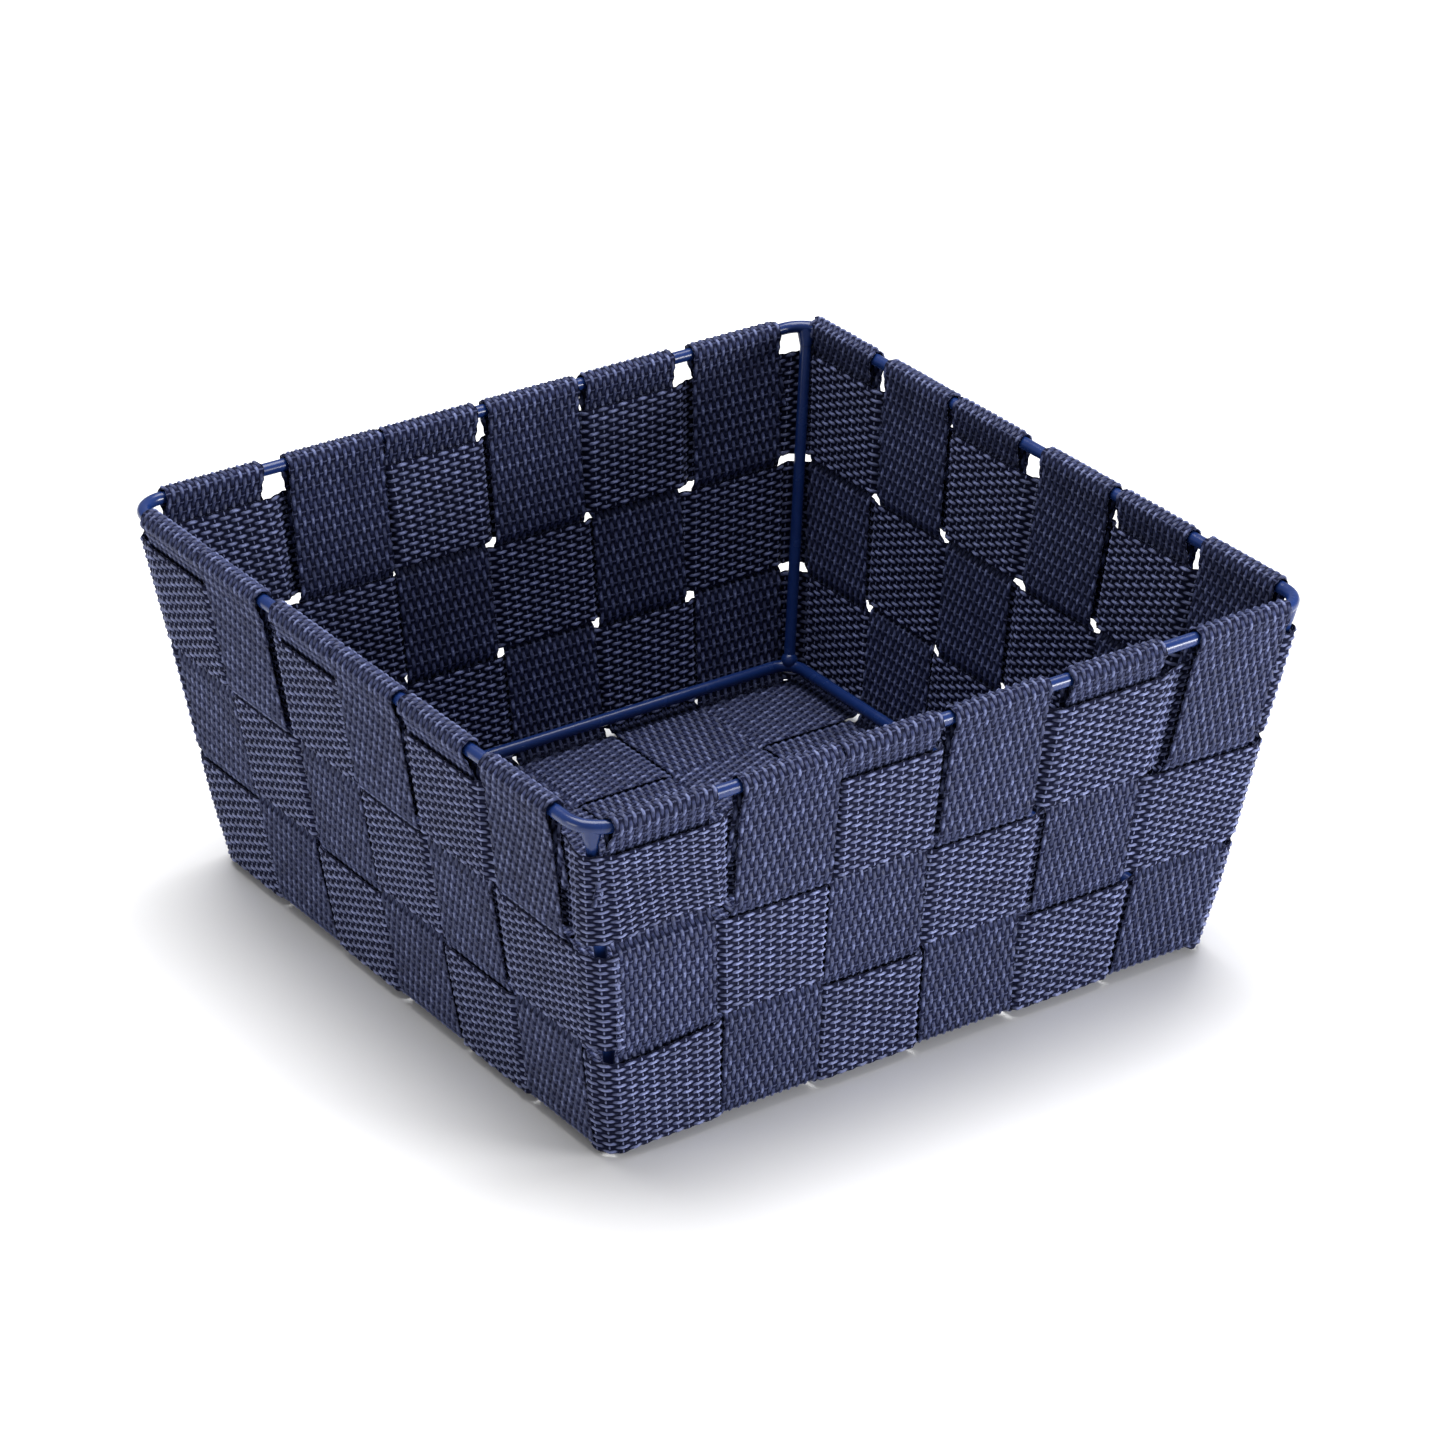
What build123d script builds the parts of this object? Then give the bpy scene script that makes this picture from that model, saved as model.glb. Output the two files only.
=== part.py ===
from build123d import *

import os
from math import acos, atan2, cos, hypot, pi, sin, tan

# Open storage bin: flat webbing straps woven on a welded steel-wire frame.
# Millimetres, +Z up. The origin is the centre of the underside; the bin stands on z = 0.
# A wall is described by its mid-surface, which runs from the rim wire down to the foot of
# the wall, just outside the base wire. "Out" means away from the inside of the bin: outwards on a wall, down on the floor.

# ---------------------------------------------------------------- wire frame
WIRE_R = 1.5            # radius of the rim and base wires
UPRIGHT_R = 1.4         # radius of the four corner uprights
RIM_HALF = 93.5         # half-width of the rim wire, to its centre line
RIM_Z = 88.2            # height of the rim wire's centre line
RIM_CORNER_R = 7.5
BASE_HALF = 78.0        # half-width of the base wire, to its centre line
BASE_Z = 6.7            # height of the base wire's centre line
BASE_CORNER_R = 5.5
RIM_WELD_R = 2.6        # weld under each corner of the rim wire, flared along the wire
RIM_WELD_LENGTH = 4.5
BASE_WELD_R = 2.1       # small round weld on each corner of the base wire

# ---------------------------------------------------------------- webbing
STRAPS = 6              # straps in each direction, and columns on each wall
THICK = 1.2             # webbing thickness
AIR = 0.1               # air between two layers that lie on each other
LAYER = THICK + AIR
STRAP_W = 23.6
BAND_W = 24.0
FOOT_HALF = 80.8        # half-width of the walls' mid-surface, carried on down to z = 0
FLOOR_PITCH = 25.8      # strap spacing on the floor
RIM_PITCH = 29.9        # strap spacing at the rim, where the straps have fanned out
ROW_STARTS = (6.4, 33.2, 59.6)   # from the rim wire down the wall to each band's top edge
TAIL_END = 20.0         # how far down the wall a folded strap end reaches
TAIL_KINK = 5.6         # where a folded end leaves the rim wire
EDGE_ROOM = 0.25        # a layer changes sides this far from the edge it crosses
BEND_R = {-1: 2.2, 1: 3.5}       # bottom bend of a strap inside or outside the lowest band
BAND_CORNER_R = ((4.2, 3.6), (5.2, 5.6), (4.6, 5.2))   # at each band's lower and upper edge
CORNER_STEP = (2.6, 0.35)        # the top band moves out this far, to clear the upright

# ---------------------------------------------------------------- derived sizes
FLOOR_Z = THICK / 2 + LAYER / 2          # mid-surface of the floor
LEAN = atan2(RIM_HALF - FOOT_HALF, RIM_Z)
FOLD_R = WIRE_R + AIR + THICK / 2        # webbing's centre line round the rim wire
RIM_CORNER = RIM_HALF - RIM_CORNER_R * (1 - cos(pi / 4))
BASE_CORNER = BASE_HALF - BASE_CORNER_R * (1 - cos(pi / 4))
CORNER_SIGNS = ((-1, -1), (1, -1), (1, 1), (-1, 1))
OUTSIDE, INSIDE = 1, -1

os.makedirs("parts", exist_ok=True)


def save(part, name):
    """Label a finished piece and write it as its own STEP file."""
    part.label = name
    export_step(part, f"parts/{name}.step")


# ---------------------------------------------------------------- shared geometry
def wall_point(down, out):
    """(outward distance, height) of a point, from its way down the wall and its offset."""
    return Vector(
        RIM_HALF - down * sin(LEAN) + out * cos(LEAN),
        RIM_Z - down * cos(LEAN) - out * sin(LEAN),
    )


def wall_half(z):
    """Half-width of the bin at height z, to the walls' mid-surface."""
    return RIM_HALF - (RIM_Z - z) * tan(LEAN)


def row_z(down):
    """Height of a point of the wall's mid-surface, from its way down the wall."""
    return RIM_Z - down * cos(LEAN)


def pitch(z):
    """Spacing of the straps on a wall at height z."""
    return FLOOR_PITCH + (RIM_PITCH - FLOOR_PITCH) * z / RIM_Z


def from_middle(index):
    """Column number counted from the middle of a wall."""
    return index - (STRAPS - 1) / 2


def moved_left(points, distance):
    """A line of points moved sideways to its left, with mitred corners."""
    normals = [
        Vector(a.Y - b.Y, b.X - a.X).normalized() for a, b in zip(points, points[1:])
    ]
    before = [normals[0]] + normals
    after = normals + [normals[-1]]
    return [
        point + (n1 + n2) * (distance / (1 + n1.dot(n2)))
        for point, n1, n2 in zip(points, before, after)
    ]


# ---------------------------------------------------------------- wire frame
def wire_ring(half, corner_r, z):
    """A closed square ring of round wire with rounded corners."""
    corners = [(half * x, half * y) for x, y in CORNER_SIGNS]
    with BuildPart() as ring:
        with BuildLine(Plane.XY.offset(z)) as path:
            FilletPolyline(*corners, radius=corner_r, close=True)
        wire = path.wire()
        with BuildSketch(Plane(origin=wire @ 0, z_dir=wire % 0)):
            Circle(WIRE_R)
        sweep(path=wire)
    return ring.part


def upright_axis(signs):
    """Foot and head of a corner upright, on the base and rim wires' centre lines."""
    foot = Vector(BASE_CORNER * signs[0], BASE_CORNER * signs[1], BASE_Z)
    head = Vector(RIM_CORNER * signs[0], RIM_CORNER * signs[1], RIM_Z)
    return foot, head


def corner_upright(signs, rings):
    """A straight corner wire, its ends shaped to sit on the two rings."""
    foot, head = upright_axis(signs)
    with BuildPart() as upright:
        with BuildSketch(Plane(origin=foot, z_dir=head - foot)):
            Circle(UPRIGHT_R)
        extrude(amount=(head - foot).length)
        add(rings, mode=Mode.SUBTRACT)
    return upright.part


def rim_weld(signs, neighbours):
    """The flared weld between an upright's head and the rim wire."""
    foot, head = upright_axis(signs)
    tangent = Vector(-signs[1], signs[0], 0)
    along = Plane(origin=head, x_dir=tangent, z_dir=foot - head)
    with BuildPart() as weld:
        with BuildSketch(along):
            Ellipse(RIM_WELD_R, WIRE_R)
        with BuildSketch(along.offset(RIM_WELD_LENGTH)):
            Circle(UPRIGHT_R + AIR)
        loft()
        add(neighbours, mode=Mode.SUBTRACT)
    return weld.part.solids().sort_by(SortBy.VOLUME)[-1]


def base_weld(signs, neighbours):
    """The small round weld between an upright's foot and the base wire."""
    foot, head = upright_axis(signs)
    middle = foot + (head - foot).normalized() * WIRE_R
    with BuildPart() as weld:
        with Locations(middle):
            Sphere(BASE_WELD_R)
        add(neighbours, mode=Mode.SUBTRACT)
    return weld.part.solids().sort_by(SortBy.VOLUME)[-1]


# ---------------------------------------------------------------- straps
def touch_point(down, out, side):
    """Where a line from a wall point touches the fold round the rim wire."""
    turn = atan2(out, down) + side * acos(FOLD_R / hypot(down, out))
    return wall_point(FOLD_R * cos(turn), FOLD_R * sin(turn))


def tail_points(side):
    """A strap's folded end, from its cut edge up to the rim wire."""
    return [
        wall_point(TAIL_END, 0),
        wall_point(TAIL_KINK, 0),
        touch_point(TAIL_KINK, 0, -side),
    ]


def wall_points(side):
    """A strap's way down a wall: past the top band on one side, then the next two."""
    offsets = (side * LAYER, -side * LAYER / 2, side * LAYER / 2)
    points = [
        touch_point(TAIL_KINK, side * LAYER, side),
        wall_point(TAIL_KINK, side * LAYER),
    ]
    for start, out, next_start, next_out in zip(
        ROW_STARTS, offsets, ROW_STARTS[1:], offsets[1:]
    ):
        points.append(wall_point(start + BAND_W + EDGE_ROOM, out))
        points.append(wall_point(next_start - EDGE_ROOM, next_out))
    return points


def bend_point(side):
    """Corner where the wall line meets the floor line, before it is rounded."""
    height = FLOOR_Z + side * LAYER / 2
    return Vector(wall_half(height) + side * LAYER / 2 / cos(LEAN), height)


def floor_points():
    """A strap's way over and under the six straps that cross it on the floor."""
    points = []
    for index in range(STRAPS):
        level = FLOOR_Z - LAYER / 2 * (-1) ** index
        middle = from_middle(index) * FLOOR_PITCH
        for end in (-1, 1):
            points.append(Vector(middle + end * (STRAP_W / 2 + EDGE_ROOM), level))
    return points[1:-1]


def near(points):
    """Wall points as seen on the wall where the strap starts, in strap coordinates."""
    return [Vector(-point.X, point.Y) for point in points]


def strap_face_line(shift):
    """One face of a strap: the middle line, moved to its left."""
    start_tail = near(tail_points(INSIDE))
    end_tail = tail_points(OUTSIDE)[::-1]
    body = (
        near(wall_points(INSIDE) + [bend_point(INSIDE)])
        + floor_points()
        + ([bend_point(OUTSIDE)] + wall_points(OUTSIDE)[::-1])
    )
    radii = [0.0] * (len(body) - 2)
    start_bend = len(wall_points(INSIDE)) - 1
    radii[start_bend] = BEND_R[INSIDE] - shift
    radii[-start_bend - 1] = BEND_R[OUTSIDE] - shift
    start_tail = moved_left(start_tail, shift)
    end_tail = moved_left(end_tail, shift)
    body = moved_left(body, shift)
    start_top = near([wall_point(-FOLD_R - shift, 0)])[0]
    end_top = wall_point(-FOLD_R + shift, 0)
    Polyline(*start_tail)
    ThreePointArc(start_tail[-1], start_top, body[0])
    FilletPolyline(*body, radius=radii)
    ThreePointArc(body[-1], end_top, end_tail[0])
    Polyline(*end_tail)
    return start_tail[0], end_tail[-1]


def strap(turn, index):
    """One strap, from rim to rim under the floor, its sides leaning out with the walls."""
    ahead = Vector(0, 1, 0).rotate(Axis.Z, turn)
    across = Vector(1, 0, 0).rotate(Axis.Z, turn)
    if index % 2:
        ahead = -ahead
    plane = Plane(origin=(0, 0, 0), x_dir=ahead, z_dir=ahead.cross(Vector(0, 0, 1)))
    fan = from_middle(index) * (RIM_PITCH - FLOOR_PITCH) / RIM_Z
    middle = from_middle(index) * FLOOR_PITCH
    with BuildPart() as piece:
        with BuildSketch(plane):
            with BuildLine():
                starts, ends = zip(*[strap_face_line(s * THICK / 2) for s in (1, -1)])
                Line(*starts)
                Line(*ends)
            make_face()
        extrude(amount=RIM_HALF, both=True)
        for side in (-1, 1):
            edge = across * (middle + side * STRAP_W / 2)
            outward = (across - Vector(0, 0, fan)) * side
            split(bisect_by=Plane(origin=edge, z_dir=outward), keep=Keep.BOTTOM)
    return piece.part


# ---------------------------------------------------------------- bands
def band_offset(row, index):
    """How far out a band runs where it passes a strap."""
    step = LAYER if row == 0 else LAYER / 2
    return step if (index + row) % 2 == 0 else -step


def band_points(row, z):
    """A band's middle line at height z, and the radius of each of its corners."""
    half = STRAP_W / 2 + EDGE_ROOM
    level = [wall_half(z) + band_offset(row, i) / cos(LEAN) for i in range(STRAPS)]
    lower, upper = BAND_CORNER_R[row]
    low_z, high_z = band_heights(row)
    corner_r = lower + (upper - lower) * (z - low_z) / (high_z - low_z)
    wall = []
    for index in range(STRAPS):
        middle = from_middle(index) * pitch(z)
        wall += [(middle - half, level[index]), (middle + half, level[index])]
    wall = wall[1:-1]
    last_level = level[-1]
    if row == 0:
        step_along, step_to = CORNER_STEP
        edge = from_middle(STRAPS - 1) * pitch(z) + half
        last_level = wall_half(z) + step_to
        wall += [(edge, level[-1]), (edge + step_along, last_level)]
    wall.append((level[0], last_level))
    points = [
        Vector(along, -out).rotate(Axis.Z, 90 * turn)
        for turn in range(4)
        for along, out in wall
    ]
    radii = ([0.0] * (len(wall) - 1) + [corner_r]) * 4
    return points, radii


def band_heights(row):
    """Heights of a band's lower and upper edges."""
    return row_z(ROW_STARTS[row] + BAND_W), row_z(ROW_STARTS[row])


def band_solid(row, shift):
    """The block inside one face of a band."""
    with BuildPart() as block:
        for z in band_heights(row):
            points, radii = band_points(row, z)
            radii = [r + shift if r else 0.0 for r in radii]
            loop = moved_left([points[-1]] + points + [points[0]], -shift)[1:-1]
            with BuildSketch(Plane.XY.offset(z)):
                with BuildLine():
                    FilletPolyline(*loop, radius=radii, close=True)
                make_face()
        loft(ruled=True)
    return block.part


def band(row):
    """A closed band round all four walls, weaving past every strap and upright."""
    half = THICK / 2 / cos(LEAN)
    inner = band_solid(row, -half)
    with BuildPart() as piece:
        add(band_solid(row, half))
        add(inner, mode=Mode.SUBTRACT)
    return piece.part


# ---------------------------------------------------------------- build and save
rim_ring = wire_ring(RIM_HALF, RIM_CORNER_R, RIM_Z)
base_ring = wire_ring(BASE_HALF, BASE_CORNER_R, BASE_Z)
rings = [rim_ring, base_ring]
save(rim_ring, "rim_ring")
save(base_ring, "base_ring")

uprights = [corner_upright(signs, rings) for signs in CORNER_SIGNS]
for number, upright in enumerate(uprights, 1):
    save(upright, f"corner_upright_{number}")

with BuildPart() as rim_welds:
    for signs, upright in zip(CORNER_SIGNS, uprights):
        add(rim_weld(signs, [rim_ring, upright]))
save(rim_welds.part, "rim_weld_beads")

with BuildPart() as base_welds:
    for signs, upright in zip(CORNER_SIGNS, uprights):
        add(base_weld(signs, [base_ring, upright]))
save(base_welds.part, "base_weld_beads")

for direction, turn in (("y", 0), ("x", 90)):
    for index in range(STRAPS):
        save(strap(turn, index), f"strap_{direction}_{index + 1}")

for row, name in enumerate(("top", "middle", "bottom")):
    save(band(row), f"band_{name}")
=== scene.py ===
import math
from functools import partial

import bpy
import numpy as np
from mathutils import Matrix, Vector


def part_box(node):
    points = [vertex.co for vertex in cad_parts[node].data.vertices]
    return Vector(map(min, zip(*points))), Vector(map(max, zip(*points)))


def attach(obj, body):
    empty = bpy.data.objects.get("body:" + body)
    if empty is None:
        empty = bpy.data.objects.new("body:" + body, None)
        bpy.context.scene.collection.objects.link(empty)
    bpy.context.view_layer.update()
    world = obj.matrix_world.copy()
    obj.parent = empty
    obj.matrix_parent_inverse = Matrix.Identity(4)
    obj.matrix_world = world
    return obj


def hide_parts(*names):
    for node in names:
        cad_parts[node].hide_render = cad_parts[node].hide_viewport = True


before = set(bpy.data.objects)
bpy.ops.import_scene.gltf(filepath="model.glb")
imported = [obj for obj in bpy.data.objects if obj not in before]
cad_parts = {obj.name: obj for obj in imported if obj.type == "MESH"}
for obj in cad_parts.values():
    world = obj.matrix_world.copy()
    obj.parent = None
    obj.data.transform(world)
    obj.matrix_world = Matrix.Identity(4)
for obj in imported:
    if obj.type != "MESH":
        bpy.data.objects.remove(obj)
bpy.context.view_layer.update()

# Woven storage bin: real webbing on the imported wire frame. The webbing's own sizes are in
# millimetres, and MM turns them into the scene's metres. A wall is described as in the CAD
# model: "down" from the rim wire along the wall, and "out" from its mid-surface.
MM = 0.001


# ---------------------------------------------------------------- the frame's sizes
def ring_sizes(node):
    """(half-width, height, wire radius) of a square wire ring, to its centre line."""
    low, high = (Vector(corner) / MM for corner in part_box(node))
    wire = (high.z - low.z) / 2
    return high.x - wire, (high.z + low.z) / 2, wire


RIM_HALF, RIM_Z, WIRE_R = ring_sizes("rim_ring")

THICK = 1.2             # webbing, over its yarns
LAYER = 1.3             # from the middle of one layer to the middle of the next
FLOOR_Z = THICK / 2 + LAYER / 2
FOOT_HALF = 80.8        # half-width of the walls' mid-surface, carried on down to z = 0
LEAN = math.atan2(RIM_HALF - FOOT_HALF, RIM_Z)
SIN, COS = math.sin(LEAN), math.cos(LEAN)

# ---------------------------------------------------------------- the weave's layout
STRAPS = 6              # straps in each direction, and columns on each wall
WIDTH = 25.0            # webbing width
FLOOR_PITCH = 25.8      # spacing of the straps on the floor
RIM_PITCH = 29.9        # and at the rim, where they have fanned out
BAND_TOPS = (6.6, 33.6, 61.0)      # down to each band's upper edge
TAIL_END = 19.0         # how far down a folded strap end reaches
TAIL_KINK = 6.5         # where it lies flat again below the rim wire
FOLD_R = WIRE_R + THICK / 2 + 0.15     # to the strap's middle as it goes over the rim wire
FOLD_TURNS = np.arange(-14, 195, 8)    # degrees, round the wire from the folded end's side
CROSS = 1.5             # half the way a strap takes from one side of a band to the other
BEND_R = {-1: 2.4, 1: 3.6}         # bottom bend of a strap inside or outside its band
SOFTENED = 0.55         # how far each corner of a strap's line is smoothed out
WANDER = 0.12           # how far a strap drifts sideways of itself

# How far each strap has crept along the rim, wall by wall in the direction of travel, and
# how soon that fades on the way down each wall
CREEP = (
    (-1.0, 0.5, -4.0, -5.5, -4.5, 0.0),
    (2.9, 3.2, 1.2, 5.3, 2.2, 3.4),
    (3.7, 4.7, 2.2, 0.2, -4.0, -2.0),
    (2.0, -2.6, -1.2, -5.8, -8.0, -6.0),
)
CREEP_FADE = (0.7, 2.0, 1.0, 0.8)

# How far each strap lies off the even layout on the floor, towards +x or +y
DRIFT = {"y": (-0.8, -1.4, -1.4, -1.0, -0.2, 0.0), "x": (0.4, 0.2, 0.7, 1.0, 0.9, 0.8)}

# Where the bands hang loose: row, place counted in walls from the front corner, reach, and
# how far down the upper and lower edges have moved and how far out the lower edge stands.
# The last of them is so long that it only makes the bottom band a little wider all round.
SLACK = (
    (0, 0.085, 18.0, 0.0, -5.2, 1.0),
    (1, 0.99, 18.0, 1.0, 0.2, 0.0),
    (2, 0.01, 14.0, 1.6, 0.0, 0.0),
    (2, 0.21, 14.0, -1.0, 0.0, 0.0),
    (2, 0.973, 5.5, 0.0, 1.5, -0.7),
    (2, 1.973, 5.5, 0.0, 1.5, -0.7),
    (2, 2.973, 5.5, 0.0, 1.5, -0.7),
    (2, 3.973, 5.5, 0.0, 1.5, -0.7),
    (2, 0.0, 1000.0, 0.0, 0.7, 0.0),
)

# ---------------------------------------------------------------- one webbing's weave
YARNS = 23              # warp yarns across
PICK = 2.72             # from one weft to the next
CRIMP = 0.3             # how far a warp yarn rises and falls
YARN_HALF = 0.3         # half a warp yarn's thickness
YARN_SPREAD = 0.44      # half a float's width, in yarns
LOWEST = -0.1           # the webbing's surface at the bottom of its gaps
FALL = 2.0              # how steeply a yarn's side falls away, past its edge
FLATNESS = 1.2          # how long a yarn stays up before it dives under the next weft
WEFT_R = 0.2
WEFT_CRIMP = 0.22       # how far a weft rises and falls
STEPS = 4               # rings of mesh per pick
ACROSS = 2              # columns of mesh per yarn
SIDE = 0.16             # how far the selvedge stands out past its last yarn, in yarns
SIDE_BULGE = 0.14       # and how far it bulges at each weft
PATCHY = 0.12           # how unevenly the yarns rise from one weft to the next


def ramp(x, start, end):
    """Smoothly from 0 at start to 1 at end."""
    t = np.clip((x - start) / (end - start), 0, 1)
    return t * t * (3 - 2 * t)


def yarn_crown(distance):
    """Height of a yarn's surface over its middle line, falling away past its side."""
    part = distance / YARN_SPREAD
    return YARN_HALF * np.sqrt(np.clip(1 - part**2, 0, 1)) - FALL * np.clip(part - 1, 0, None)


def weave_height(picks, yarns, face, uneven):
    """Height of the weave's surface over its middle, on the +1 or -1 face."""
    yarn = np.clip(np.round(yarns), -(YARNS // 2), YARNS // 2)
    off = np.abs(yarns - yarn)
    wave = face * np.clip(np.cos(np.pi * (picks + yarn)) * FLATNESS, -1, 1) * CRIMP * uneven
    near = wave + yarn_crown(off)
    far = -wave + yarn_crown(1 - off)
    pick = np.round(picks)
    over = np.abs(picks - pick) * PICK / WEFT_R
    weft = WEFT_R * np.sqrt(np.clip(1 - over**2, 0, 1)) - FALL * np.clip(over - 1, 0, None)
    weft = weft - face * np.cos(np.pi * (pick + yarns)) * WEFT_CRIMP
    surface = np.maximum(np.maximum(near, far), np.maximum(weft, LOWEST))
    return np.minimum(surface, THICK / 2)


def webbing_mesh(name, middle, picks, yarns, closed, seed):
    """A woven ribbon's mesh from its middle surface, a grid of points along and across."""
    rng = np.random.default_rng(seed)
    rings, columns = middle.shape[:2]
    if closed:
        along = np.roll(middle, -1, 0) - np.roll(middle, 1, 0)
    else:
        along = np.gradient(middle, axis=0)
    normal = np.cross(along, np.gradient(middle, axis=1))
    normal /= np.linalg.norm(normal, axis=2, keepdims=True)

    grid_u, grid_b = np.meshgrid(picks, yarns, indexing="ij")
    pick_count = int(round(picks[-1])) + 3
    patchy = 1 + PATCHY * rng.standard_normal((pick_count, YARNS + 2))
    if closed:
        patchy[-3:] = patchy[:3]
    cell = np.clip(np.round(grid_b) + YARNS // 2 + 1, 0, YARNS + 1).astype(int)
    uneven = patchy[np.round(grid_u).astype(int), cell]
    past_edge = np.clip((np.abs(grid_b) - YARNS / 2 + 0.7) / 0.9, 0, 1)
    rounding = np.sqrt(np.clip(1 - past_edge**2, 0, 1))
    faces = [
        middle
        + face * normal * (weave_height(grid_u, grid_b, face, uneven) * rounding)[..., None]
        for face in (1, -1)
    ]

    ring = 2 * columns - 2
    points = np.concatenate([faces[0], faces[1][:, 1:-1]], axis=1).reshape(-1, 3) * MM
    count = rings if closed else rings - 1
    k, c = np.meshgrid(np.arange(count), np.arange(columns - 1), indexing="ij")
    k, c = k.ravel(), c.ravel()

    def corner(dk, dc, face):
        """Vertex and weave coordinates of one corner of every quad on a face."""
        row, column = k + dk, c + dc
        vertex = (row % rings) * ring + column
        if face < 0:
            inner = (column > 0) & (column < columns - 1)
            vertex = np.where(inner, vertex + columns - 1, vertex)
        u = row / STEPS + (0 if face > 0 else 1)
        return vertex, np.stack([u, yarns[column]], axis=1)

    quads, coords = [], []
    orders = {1: ((0, 0), (1, 0), (1, 1), (0, 1)), -1: ((0, 0), (0, 1), (1, 1), (1, 0))}
    for face, order in orders.items():
        found = [corner(dk, dc, face) for dk, dc in order]
        quads.append(np.stack([vertex for vertex, _ in found], axis=1))
        coords.append(np.stack([uv for _, uv in found], axis=1))
    quads, coords = np.concatenate(quads), np.concatenate(coords).reshape(-1, 2)

    mesh = bpy.data.meshes.new(name)
    loops = quads.ravel()
    sizes = np.full(len(quads), 4)
    if not closed:
        rim = np.concatenate([np.arange(columns), np.arange(ring - 1, columns - 1, -1)])
        last = (rings - 1) * ring
        loops = np.concatenate([loops, rim, last + rim[::-1]])
        sizes = np.concatenate([sizes, [ring, ring]])
        coords = np.concatenate([coords, np.zeros((2 * ring, 2))])
    mesh.vertices.add(len(points))
    mesh.vertices.foreach_set("co", points.ravel().astype(np.float32))
    mesh.loops.add(len(loops))
    mesh.loops.foreach_set("vertex_index", loops.astype(np.int32))
    mesh.polygons.add(len(sizes))
    starts = np.concatenate([[0], np.cumsum(sizes)[:-1]])
    mesh.polygons.foreach_set("loop_start", starts.astype(np.int32))
    mesh.update(calc_edges=True)
    layer = mesh.uv_layers.new(name="weave")
    layer.data.foreach_set("uv", coords.ravel().astype(np.float32))
    mesh.polygons.foreach_set("use_smooth", np.ones(len(sizes), bool))
    mesh.validate()
    piece = bpy.data.objects.new(name, mesh)
    bpy.context.scene.collection.objects.link(piece)
    return piece


def yarn_columns():
    """Places across a webbing, in yarns from its middle, with one more at each selvedge."""
    inner = np.linspace(-YARNS / 2, YARNS / 2, ACROSS * YARNS + 1)
    edge = YARNS / 2 + SIDE
    return np.concatenate([[-edge], inner, [edge]])


def selvedge_wave(picks, yarns):
    """The outermost yarn bulges where each weft turns round it."""
    reach = np.clip(np.abs(yarns) - YARNS / 2 + 1, 0, 1) * np.sign(yarns)
    return SIDE_BULGE * np.cos(2 * np.pi * picks)[:, None] * reach[None, :]


# ---------------------------------------------------------------- straps
def wall_at(down, out):
    """(outward distance, height) of a point of a wall."""
    return RIM_HALF - down * SIN + out * COS, RIM_Z - down * COS - out * SIN


def rounded(before, corner, after, radius, steps=8):
    """Points of the arc that rounds a corner of a line."""
    corner = Vector(corner)
    back = (Vector(before) - corner).normalized()
    ahead = (Vector(after) - corner).normalized()
    half = back.angle(ahead) / 2
    centre = corner + (back + ahead).normalized() * radius / math.sin(half)
    start = corner + back * radius / math.tan(half) - centre
    turn = (math.pi - 2 * half) * (1 if start.x * ahead.y - start.y * ahead.x > 0 else -1)
    points = []
    for step in range(steps + 1):
        angle = turn * step / steps
        c, s = math.cos(angle), math.sin(angle)
        points.append((centre.x + c * start.x - s * start.y, centre.y + s * start.x + c * start.y))
    return points


def wall_line(side):
    """A strap on a wall, from its cut end over the rim wire and down to the floor."""
    line = [wall_at(TAIL_END, 0), wall_at(TAIL_KINK, 0)]
    for turn in np.radians(FOLD_TURNS):
        line.append(wall_at(-FOLD_R * math.sin(turn), -side * FOLD_R * math.cos(turn)))
    offsets = (side * LAYER, -side * LAYER / 2, side * LAYER / 2)
    line.append(wall_at(BAND_TOPS[0] - 0.3, offsets[0]))
    for top, out, next_top, next_out in zip(BAND_TOPS, offsets, BAND_TOPS[1:], offsets[1:]):
        middle = (top + WIDTH + next_top) / 2
        line += [wall_at(middle - CROSS, out), wall_at(middle + CROSS, next_out)]
    level = FLOOR_Z + side * LAYER / 2
    corner = (RIM_HALF - (RIM_Z - level) * SIN / COS + side * LAYER / 2 / COS, level)
    line += rounded(line[-1], corner, (0, level), BEND_R[side])
    return line


def crept(rise, fade):
    """Share of a strap's creep along the rim, at a share of the way up its wall."""
    return np.clip(rise - 0.02, 0, 2) ** fade


def drift(direction, index, rise):
    """How far a strap is off the even layout, fading as it rises up a wall."""
    return DRIFT[direction][index] * (1 - np.clip(rise, 0, 1) ** 2)


def floor_gaps(direction):
    """Where the gaps between the straps that run one way lie on the floor."""
    shifts = np.array(DRIFT[direction])
    even = (np.arange(1, STRAPS) - STRAPS / 2) * FLOOR_PITCH
    return even + (shifts[:-1] + shifts[1:]) / 2


def strap_line(gaps):
    """A strap's middle line, from the wall where it ends outside to where it ends inside.

    It changes layer on the floor at each of the gaps between the straps that it crosses.
    """
    start = [(-x, z) for x, z in wall_line(-1)]
    end = wall_line(1)[::-1]
    floor = []
    for index, crossing in enumerate(gaps, 1):
        step = LAYER / 2 * (-1) ** index
        floor += [(crossing - CROSS, FLOOR_Z + step), (crossing + CROSS, FLOOR_Z - step)]
    return smoothed(np.array(start + floor + end), SOFTENED)


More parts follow.
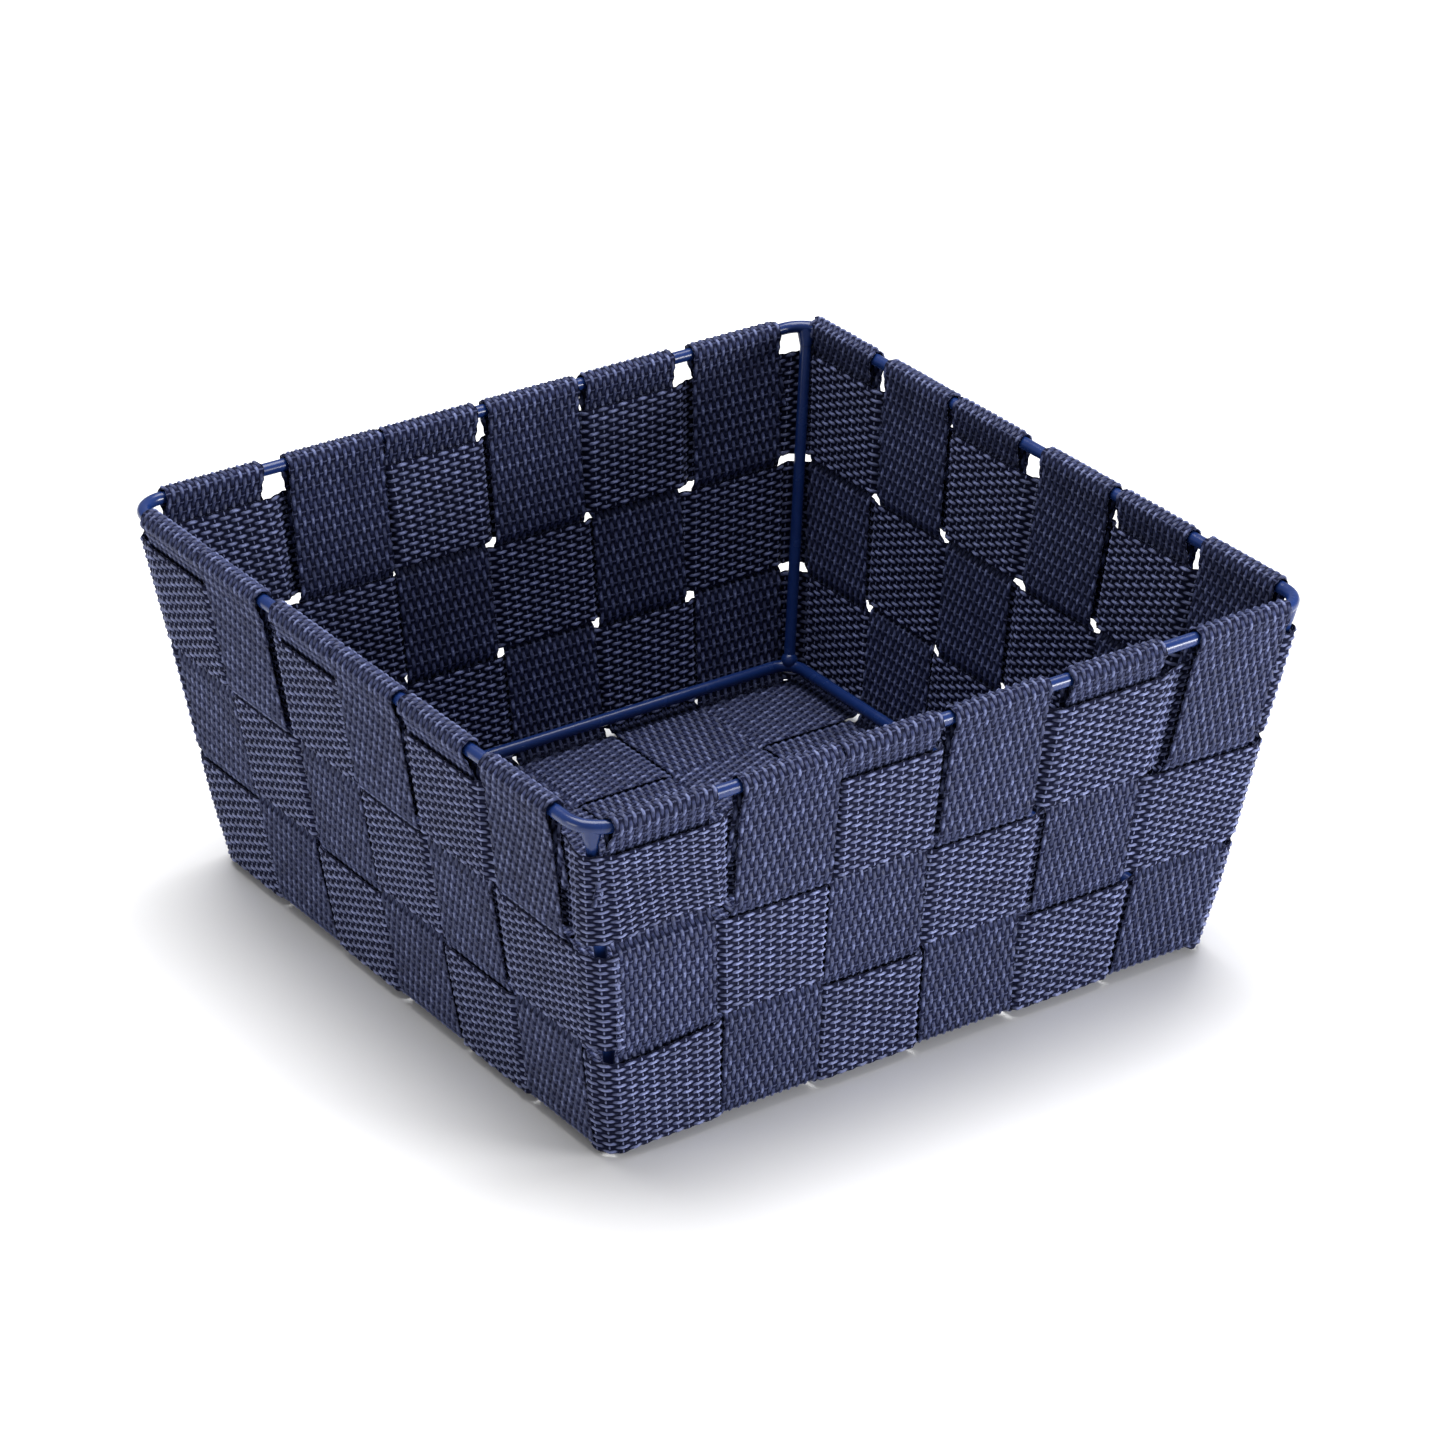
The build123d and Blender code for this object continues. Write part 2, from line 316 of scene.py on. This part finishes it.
def smoothed(points, sigma, step=0.25):
    """A line through points at even steps, its corners softened over sigma."""
    lengths = np.linalg.norm(np.diff(points, axis=0), axis=1)
    at = np.concatenate([[0], np.cumsum(lengths)])
    even = np.linspace(0, at[-1], int(at[-1] / step) + 1)
    line = np.stack([np.interp(even, at, column) for column in points.T], axis=1)
    reach = int(4 * sigma / step)
    weights = np.exp(-0.5 * (np.arange(-reach, reach + 1) * step / sigma) ** 2)
    padded = np.pad(line, ((reach, reach), (0, 0)), "reflect", reflect_type="odd")
    return np.stack(
        [np.convolve(column, weights / weights.sum(), "valid") for column in padded.T], axis=1
    )


def at_even_picks(line):
    """A line resampled at every ring of the mesh, with the picks counted along it."""
    at = np.concatenate([[0], np.cumsum(np.linalg.norm(np.diff(line, axis=0), axis=1))])
    rings = int(at[-1] / PICK * STEPS)
    places = np.linspace(0, at[-1], rings + 1)
    even = np.stack([np.interp(places, at, column) for column in line.T], axis=1)
    return even, np.arange(rings + 1) / STEPS, at[-1]


def wander(picks, rng, size):
    """A slow, small, uneven drift along a webbing."""
    total = np.zeros_like(picks)
    for waves in (0.013, 0.031, 0.067):
        total += rng.uniform(-1, 1) * np.sin(2 * np.pi * (waves * picks + rng.random()))
    return size * total


def strap(direction, index):
    """One strap, from rim to rim under the floor, leaning out with the walls."""
    turn = Matrix.Rotation(math.pi / 2 * (direction == "x"), 3, "Z")
    ahead = np.array(turn @ Vector((0, 1, 0))) * (-1 if index % 2 else 1)
    across = np.array(turn @ Vector((1, 0, 0)))
    near_wall = 1 if direction == "x" else 0
    near_creep = CREEP[near_wall][index]
    far_creep = -CREEP[near_wall + 2][STRAPS - 1 - index]
    if index % 2:
        near_creep, far_creep = far_creep, near_creep

    gaps = floor_gaps("y" if direction == "x" else "x")
    if ahead.sum() < 0:
        gaps = -gaps[::-1]
    line, picks, length = at_even_picks(strap_line(gaps))
    rng = np.random.default_rng(100 + 10 * index + near_wall)
    rise = (line[:, 1] - FLOOR_Z) / (RIM_Z - FLOOR_Z)
    half = len(line) // 2
    first_top, last_top = np.argmax(line[:half, 1]), half + np.argmax(line[half:, 1])
    order = np.arange(len(line))
    rise = np.where((order < first_top) | (order > last_top), 2 - rise, rise)
    walls = (near_wall, near_wall + 2) if index % 2 == 0 else (near_wall + 2, near_wall)
    fade = np.where(line[:, 0] < 0, CREEP_FADE[walls[0]], CREEP_FADE[walls[1]])
    creep = np.where(line[:, 0] < 0, near_creep, far_creep) * crept(rise, fade)
    middle = (index - (STRAPS - 1) / 2) * (FLOOR_PITCH + (RIM_PITCH - FLOOR_PITCH) * rise)
    sideways = middle + creep + drift(direction, index, rise) + wander(picks, rng, WANDER)

    yarns = yarn_columns()
    lateral = sideways[:, None] + yarns * (WIDTH / YARNS) + selvedge_wave(picks, yarns)
    grid = (
        lateral[..., None] * across
        + line[:, None, :1] * ahead
        + line[:, None, 1:] * np.array([0, 0, 1.0])
    )
    number = index + 1
    piece = webbing_mesh(f"woven_strap_{direction}_{number}", grid, picks, yarns, False, index)
    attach(piece, "root")
    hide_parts(f"strap_{direction}_{number}")
    return piece


# ---------------------------------------------------------------- bands
CORNER_R = ((3.6, 4.6), (5.2, 5.4), (5.4, 5.8))     # at each band's upper and lower edge
CORNER_OUT = (0.5, LAYER / 2, LAYER / 2)            # how far out each lies at the corners
JOIN_COLUMN = (3, 2, 3)            # the front wall's strap that each band's ends meet behind
STEP_ROOM = 0.15                    # a change of layer runs this far under each strap
SHORTEST_STEP = 1.25                # and is at least twice this long


def strap_middle(wall, column, down):
    """Where a strap's middle crosses a wall, along its direction of travel."""
    rise = 1 - down * COS / (RIM_Z - FLOOR_Z)
    nominal = (column - (STRAPS - 1) / 2) * (FLOOR_PITCH + (RIM_PITCH - FLOOR_PITCH) * rise)
    creep = CREEP[wall][column] * crept(rise, CREEP_FADE[wall])
    if wall < 2:
        return nominal + creep + drift("yx"[wall], column, rise)
    return nominal + creep - drift("yx"[wall - 2], STRAPS - 1 - column, rise)


def band_out(row, wall, along, down, half, corner):
    """How far out of the wall's mid-surface a band lies, past each strap in turn."""
    step = LAYER if row == 0 else LAYER / 2
    levels = [step if (column + row) % 2 == 0 else -step for column in range(STRAPS)]
    edges = [
        (strap_middle(wall, c, down) - WIDTH / 2, strap_middle(wall, c, down) + WIDTH / 2)
        for c in range(STRAPS)
    ]
    levels = [CORNER_OUT[row]] + levels + [CORNER_OUT[row]]
    lows = [-half + corner] + [high for _, high in edges]
    highs = [low for low, _ in edges] + [half - corner]
    out = np.full_like(along, levels[0])
    for low, high, level, next_level in zip(lows, highs, levels, levels[1:]):
        centre = (low + high) / 2
        reach = np.maximum((high - low) / 2 + STEP_ROOM, SHORTEST_STEP)
        out += (next_level - level) * ramp(along, centre - reach, centre + reach)
    return out


def slack(row, place, total, across):
    """How far a band has slipped down, and stands out, at each point of its grid."""
    down, out = np.zeros_like(across), np.zeros_like(across)
    for slack_row, centre, reach, upper, lower, stand in SLACK:
        if slack_row == row:
            away = ((place - centre + 2) % 4 - 2) * total / 4
            weight = np.exp(-((away / reach) ** 2))[:, None]
            down += weight * (upper + (lower - upper) * across)
            out += weight * stand * ramp(across, 0.35, 1.0)
    return down, out


def band(row, name):
    """A closed band round all four walls, weaving past every strap and upright."""
    rng = np.random.default_rng(50 + row)
    upper_r, lower_r = CORNER_R[row]
    corner = (upper_r + lower_r) / 2
    centre_down = BAND_TOPS[row] + WIDTH / 2
    half = RIM_HALF - centre_down * SIN
    straight, arc = 2 * (half - corner), math.pi / 2 * corner
    total = 4 * (straight + arc)
    pick_count = 2 * int(round(total / PICK / 2))
    rings = pick_count * STEPS
    picks = np.arange(rings) / STEPS
    join = straight / 2 + strap_middle(0, JOIN_COLUMN[row], centre_down)
    place = (picks / pick_count * 4 + join / (straight + arc)) % 4
    wall = place.astype(int) % 4
    within = (place - np.floor(place)) * (straight + arc)
    on_arc = within > straight
    angle = np.clip((within - straight) / corner, 0, math.pi / 2)

    yarns = yarn_columns()
    lateral = yarns * (WIDTH / YARNS) + selvedge_wave(picks, yarns)
    across = lateral / WIDTH + 0.5
    slack_down, slack_out = slack(row, place, total, across)
    down = centre_down + lateral + slack_down
    half_at = RIM_HALF - down * SIN
    corner = upper_r + (lower_r - upper_r) * across
    share = (2 * within / straight - 1)[:, None]
    along = share * (half_at - corner)
    out = np.zeros_like(down)
    for w in range(4):
        mask = (wall == w) & ~on_arc
        out[mask] = band_out(row, w, along[mask], down[mask], half_at[mask], corner[mask])
    out[on_arc] = CORNER_OUT[row]
    out += slack_out

    heading = wall * math.pi / 2
    travel = np.stack([np.cos(heading), np.sin(heading)], axis=1)[:, None, :]
    outward = np.stack([np.sin(heading), -np.cos(heading)], axis=1)[:, None, :]
    swing = angle[:, None, None]
    facing = np.cos(swing) * outward + np.sin(swing) * travel
    core = (half_at - corner)[..., None]
    flat_along = np.where(on_arc[:, None], half_at - corner, along)[..., None]
    spot = core * outward + flat_along * travel + (corner + out * COS)[..., None] * facing
    height = RIM_Z - down * COS - out * SIN
    grid = np.concatenate([spot, height[..., None]], axis=2)
    piece = webbing_mesh(f"woven_band_{name}", grid, picks, yarns, True, 70 + row)
    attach(piece, "root")
    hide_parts(f"band_{name}")
    return piece


# ---------------------------------------------------------------- materials
def maths(tree, operation, *values, clamp=False):
    """A maths node, and its result to build on."""
    node = tree.nodes.new("ShaderNodeMath")
    node.operation = operation
    node.use_clamp = clamp
    for socket, value in zip(node.inputs, values):
        if isinstance(value, (int, float)):
            socket.default_value = value
        else:
            tree.links.new(value, socket)
    return node.outputs[0]


def new_material(name):
    material = bpy.data.materials.new(name)
    material.use_nodes = True
    tree = material.node_tree
    return material, tree, tree.nodes["Principled BSDF"]


# Painted shade: the dark colour put in the gaps between the yarns
GAP_PAINTED_SHADE = (0.0015, 0.003, 0.021)
LIT_RISE = 0.27         # from the height of the gaps' painted shade to the height of the yarns' colour
CREST = (0.5, 0.6)      # heights between which the floats begin to glint, a painted highlight


def webbing_material(name, yarn, tick, glint, spread, lit_from):
    """Warp-faced webbing: its floats, painted shade in the gaps between them, and the wefts'
    ticks.

    The floats' crests carry a painted highlight in the glint colour, and a tick colour brighter
    than the yarn's is a painted highlight too. The yarns' spread and the height where the gaps'
    painted shade gives way set how open it looks.
    """
    material, tree, shader = new_material(name)
    op = partial(maths, tree)
    coords = tree.nodes.new("ShaderNodeUVMap")
    coords.uv_map = "weave"
    split = tree.nodes.new("ShaderNodeSeparateXYZ")
    tree.links.new(coords.outputs[0], split.inputs[0])
    u, b = split.outputs[0], split.outputs[1]

    column = op("ROUND", b)
    off = op("ABSOLUTE", op("SUBTRACT", b, column))
    wave = op("MULTIPLY", op("COSINE", op("MULTIPLY", op("ADD", u, column), math.pi)), FLATNESS)
    wave = op("MULTIPLY", op("MINIMUM", op("MAXIMUM", wave, -1.0), 1.0), CRIMP)

    def crown(distance):
        """The same as yarn_crown, as nodes."""
        part = op("DIVIDE", distance, spread)
        inside = op("MAXIMUM", op("SUBTRACT", 1.0, op("POWER", part, 2.0)), 0.0)
        beyond = op("MAXIMUM", op("SUBTRACT", part, 1.0), 0.0)
        top = op("MULTIPLY", op("SQRT", inside), YARN_HALF)
        return op("SUBTRACT", top, op("MULTIPLY", beyond, FALL))

    near = op("ADD", wave, crown(off))
    far = op("SUBTRACT", crown(op("SUBTRACT", 1.0, off)), wave)
    warp = op("MAXIMUM", near, far)
    pick = op("ROUND", u)
    over = op("MULTIPLY", op("ABSOLUTE", op("SUBTRACT", u, pick)), PICK / WEFT_R)
    weft = op("SQRT", op("MAXIMUM", op("SUBTRACT", 1.0, op("POWER", over, 2.0)), 0.0))
    weft = op("MULTIPLY", weft, WEFT_R)
    past_weft = op("MAXIMUM", op("SUBTRACT", over, 1.0), 0.0)
    weft = op("SUBTRACT", weft, op("MULTIPLY", past_weft, FALL))
    weft_wave = op("COSINE", op("MULTIPLY", op("ADD", pick, b), math.pi))
    weft = op("SUBTRACT", weft, op("MULTIPLY", weft_wave, WEFT_CRIMP))
    height = op("MAXIMUM", op("MAXIMUM", warp, weft), LOWEST)
    is_weft = op("GREATER_THAN", weft, warp)

    stretched = tree.nodes.new("ShaderNodeVectorMath")
    stretched.operation = "MULTIPLY"
    stretched.inputs[1].default_value = (1.2, 7.0, 1.0)
    tree.links.new(coords.outputs[0], stretched.inputs[0])
    fibres = tree.nodes.new("ShaderNodeTexNoise")
    fibres.inputs["Scale"].default_value = 1.0
    fibres.inputs["Detail"].default_value = 2.0
    tree.links.new(stretched.outputs[0], fibres.inputs["Vector"])

    place = tree.nodes.new("ShaderNodeTexCoord")
    patches = tree.nodes.new("ShaderNodeTexNoise")
    patches.inputs["Scale"].default_value = 55.0
    patches.inputs["Detail"].default_value = 3.0
    tree.links.new(place.outputs["Object"], patches.inputs["Vector"])

    yarn_number = op("ADD", column, op("MULTIPLY", op("GREATER_THAN", far, near), 0.5))
    cell = tree.nodes.new("ShaderNodeCombineXYZ")
    tree.links.new(pick, cell.inputs[0])
    tree.links.new(yarn_number, cell.inputs[1])
    lottery = tree.nodes.new("ShaderNodeTexWhiteNoise")
    lottery.noise_dimensions = "2D"
    tree.links.new(cell.outputs[0], lottery.inputs["Vector"])
    lottery_value = lottery.outputs["Value"]

    def height_between(low, high):
        """Smoothly from 0 to 1 as the weave's surface rises from low to high."""
        node = tree.nodes.new("ShaderNodeMapRange")
        node.interpolation_type = "SMOOTHSTEP"
        node.inputs["From Min"].default_value = low
        node.inputs["From Max"].default_value = high
        tree.links.new(height, node.inputs["Value"])
        return node.outputs[0]

    # painted shade in the gaps, giving way to the yarns' colour as the weave's surface rises
    lit = height_between(lit_from, lit_from + LIT_RISE)
    # painted highlight on the floats' crests, brighter on some floats than on others
    crest = height_between(*CREST)
    painted_glint_share = op("MULTIPLY", crest, op("ADD", op("MULTIPLY", lottery_value, 0.8), 0.2))

    def mixed(share, first, second):
        """One colour turning into another; each is a colour or a node's result."""
        node = tree.nodes.new("ShaderNodeMix")
        node.data_type = "RGBA"
        tree.links.new(share, node.inputs[0])
        for socket, colour in ((node.inputs[6], first), (node.inputs[7], second)):
            if isinstance(colour, tuple):
                socket.default_value = (*colour, 1)
            else:
                tree.links.new(colour, socket)
        return node.outputs[2]

    # the warp's colour with its painted glint, then the ticks' colour, and painted shade in the
    # gaps
    warp_colour_and_painted_glint = mixed(painted_glint_share, yarn, glint)
    shade = mixed(lit, GAP_PAINTED_SHADE, mixed(is_weft, warp_colour_and_painted_glint, tick))

    variation = op("MULTIPLY", op("SUBTRACT", lottery_value, 0.5), 0.3)
    for noise, share in ((fibres, 0.9), (patches, 0.3)):
        swing = op("MULTIPLY", op("SUBTRACT", noise.outputs["Fac"], 0.5), share)
        variation = op("ADD", variation, swing)
    tint = tree.nodes.new("ShaderNodeVectorMath")
    tint.operation = "SCALE"
    tree.links.new(shade, tint.inputs[0])
    tree.links.new(op("ADD", variation, 1.0), tint.inputs["Scale"])
    tree.links.new(tint.outputs[0], shader.inputs["Base Color"])

    rough = op("ADD", op("MULTIPLY", fibres.outputs["Fac"], 0.2), 0.75)
    rough = op("SUBTRACT", rough, op("MULTIPLY", lit, 0.42))
    tree.links.new(rough, shader.inputs["Roughness"])
    bump = tree.nodes.new("ShaderNodeBump")
    bump.inputs["Strength"].default_value = 1.0
    bump.inputs["Distance"].default_value = 0.8 * MM
    fine_height = op("ADD", height, op("MULTIPLY", fibres.outputs["Fac"], 0.12))
    tree.links.new(fine_height, bump.inputs["Height"])
    tree.links.new(bump.outputs[0], shader.inputs["Normal"])
    shader.inputs["Specular IOR Level"].default_value = 0.16
    shader.inputs["Sheen Weight"].default_value = 0.05
    shader.inputs["Sheen Roughness"].default_value = 0.35
    shader.inputs["Sheen Tint"].default_value = (0.55, 0.6, 0.95, 1)
    return material


def wire_paint():
    """Glossy navy paint on steel wire, faintly uneven where it was dipped."""
    material, tree, shader = new_material("navy_wire_paint")
    op = partial(maths, tree)
    place = tree.nodes.new("ShaderNodeTexCoord")
    noise = tree.nodes.new("ShaderNodeTexNoise")
    noise.inputs["Scale"].default_value = 260.0
    noise.inputs["Detail"].default_value = 2.0
    tree.links.new(place.outputs["Object"], noise.inputs["Vector"])
    shade = tree.nodes.new("ShaderNodeMix")
    shade.data_type = "RGBA"
    shade.inputs[6].default_value = (0.005, 0.018, 0.1, 1)
    shade.inputs[7].default_value = (0.009, 0.03, 0.14, 1)
    tree.links.new(noise.outputs["Fac"], shade.inputs[0])
    tree.links.new(shade.outputs[2], shader.inputs["Base Color"])
    rough = op("ADD", op("MULTIPLY", noise.outputs["Fac"], 0.12), 0.2)
    tree.links.new(rough, shader.inputs["Roughness"])
    bump = tree.nodes.new("ShaderNodeBump")
    bump.inputs["Strength"].default_value = 0.25
    bump.inputs["Distance"].default_value = 0.1 * MM
    tree.links.new(noise.outputs["Fac"], bump.inputs["Height"])
    tree.links.new(bump.outputs[0], shader.inputs["Normal"])
    shader.inputs["Specular IOR Level"].default_value = 0.36
    shader.inputs["Coat Weight"].default_value = 0.1
    shader.inputs["Coat Roughness"].default_value = 0.08
    return material


def paint(piece, material):
    piece.data.materials.clear()
    piece.data.materials.append(material)


# ---------------------------------------------------------------- camera and studio
CAMERA_TURN = math.radians(-34.47)
CAMERA_RISE = math.radians(27.42)
CAMERA_ROLL = math.radians(0.09)
CAMERA_AWAY = 1.2147
CAMERA_TARGET = Vector((0, 0, 0.045))
LENS = 134.6
SHIFT = (0.0097, 0.0029)


def camera():
    data = bpy.data.cameras.new("camera")
    data.sensor_width = 36
    data.lens = LENS
    data.shift_x, data.shift_y = SHIFT
    data.clip_start, data.clip_end = 0.05, 50
    viewer = bpy.data.objects.new("camera", data)
    bpy.context.scene.collection.objects.link(viewer)
    back = Vector(
        (
            math.sin(CAMERA_TURN) * math.cos(CAMERA_RISE),
            -math.cos(CAMERA_TURN) * math.cos(CAMERA_RISE),
            math.sin(CAMERA_RISE),
        )
    )
    viewer.location = CAMERA_TARGET + back * CAMERA_AWAY
    roll = Matrix.Rotation(CAMERA_ROLL, 3, "Z")
    viewer.rotation_euler = (back.to_track_quat("Z", "Y").to_matrix() @ roll).to_euler()
    bpy.context.scene.camera = viewer


def softbox(name, place, aim, size, power, tint=(1, 1, 1)):
    data = bpy.data.lights.new(name, "AREA")
    data.shape = "RECTANGLE"
    data.size, data.size_y = size
    data.energy = power
    lamp = bpy.data.objects.new(name, data)
    bpy.context.scene.collection.objects.link(lamp)
    lamp.location = place
    data.color = tint
    lamp.rotation_euler = (Vector(place) - Vector(aim)).to_track_quat("Z", "Y").to_euler()


def studio():
    """A pale sweep under soft overhead light."""
    bpy.ops.mesh.primitive_plane_add(size=12)
    floor = bpy.context.object
    floor.name = "studio_floor"
    material, tree, shader = new_material("pale_floor")
    shader.inputs["Base Color"].default_value = (0.9, 0.9, 0.91, 1)
    shader.inputs["Roughness"].default_value = 0.45
    shader.inputs["Specular IOR Level"].default_value = 0.3
    paint(floor, material)
    world = bpy.data.worlds.new("studio")
    bpy.context.scene.world = world
    world.use_nodes = True
    sky = world.node_tree.nodes["Background"]
    sky.inputs["Color"].default_value = (1, 1, 1, 1)
    sky.inputs["Strength"].default_value = 0.31
    softbox("overhead", (0.17, 0.25, 1.4), (0, 0, 0.05), (1.3, 1.1), 37)
    softbox("right_side", (1.1, -1.25, 0.24), (0, 0, 0.05), (0.8, 0.4), 35)
    softbox("left_side", (-1.6, 0.25, 0.24), (0, 0, 0.05), (0.8, 0.4), 7, (1.0, 0.96, 0.84))
    bpy.context.scene.view_settings.view_transform = "Standard"


# ---------------------------------------------------------------- the whole bin
camera()
studio()
# One webbing in two copies: the straps' darker colours are painted shade, the bands' lighter ones
# painted light
strap_cloth_painted_shade = webbing_material(
    "strap_cloth_painted_shade",
    yarn=(0.035, 0.0435, 0.106),
    tick=(0.035, 0.0435, 0.106),
    glint=(0.135, 0.158, 0.295),
    spread=0.47,
    lit_from=0.0,
)
band_cloth_painted_light = webbing_material(
    "band_cloth_painted_light",
    yarn=(0.108, 0.126, 0.249),
    # the bands' ticks, brighter than their yarn: a painted highlight
    tick=(0.155, 0.179, 0.335),
    glint=(0.2, 0.23, 0.42),
    spread=0.38,
    lit_from=0.17,
)
for direction in ("y", "x"):
    for index in range(STRAPS):
        paint(strap(direction, index), strap_cloth_painted_shade)
for row, name in enumerate(("top", "middle", "bottom")):
    paint(band(row, name), band_cloth_painted_light)
steel = wire_paint()
for name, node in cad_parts.items():
    if not node.hide_render:
        paint(node, steel)
        node.data.polygons.foreach_set("use_smooth", [True] * len(node.data.polygons))
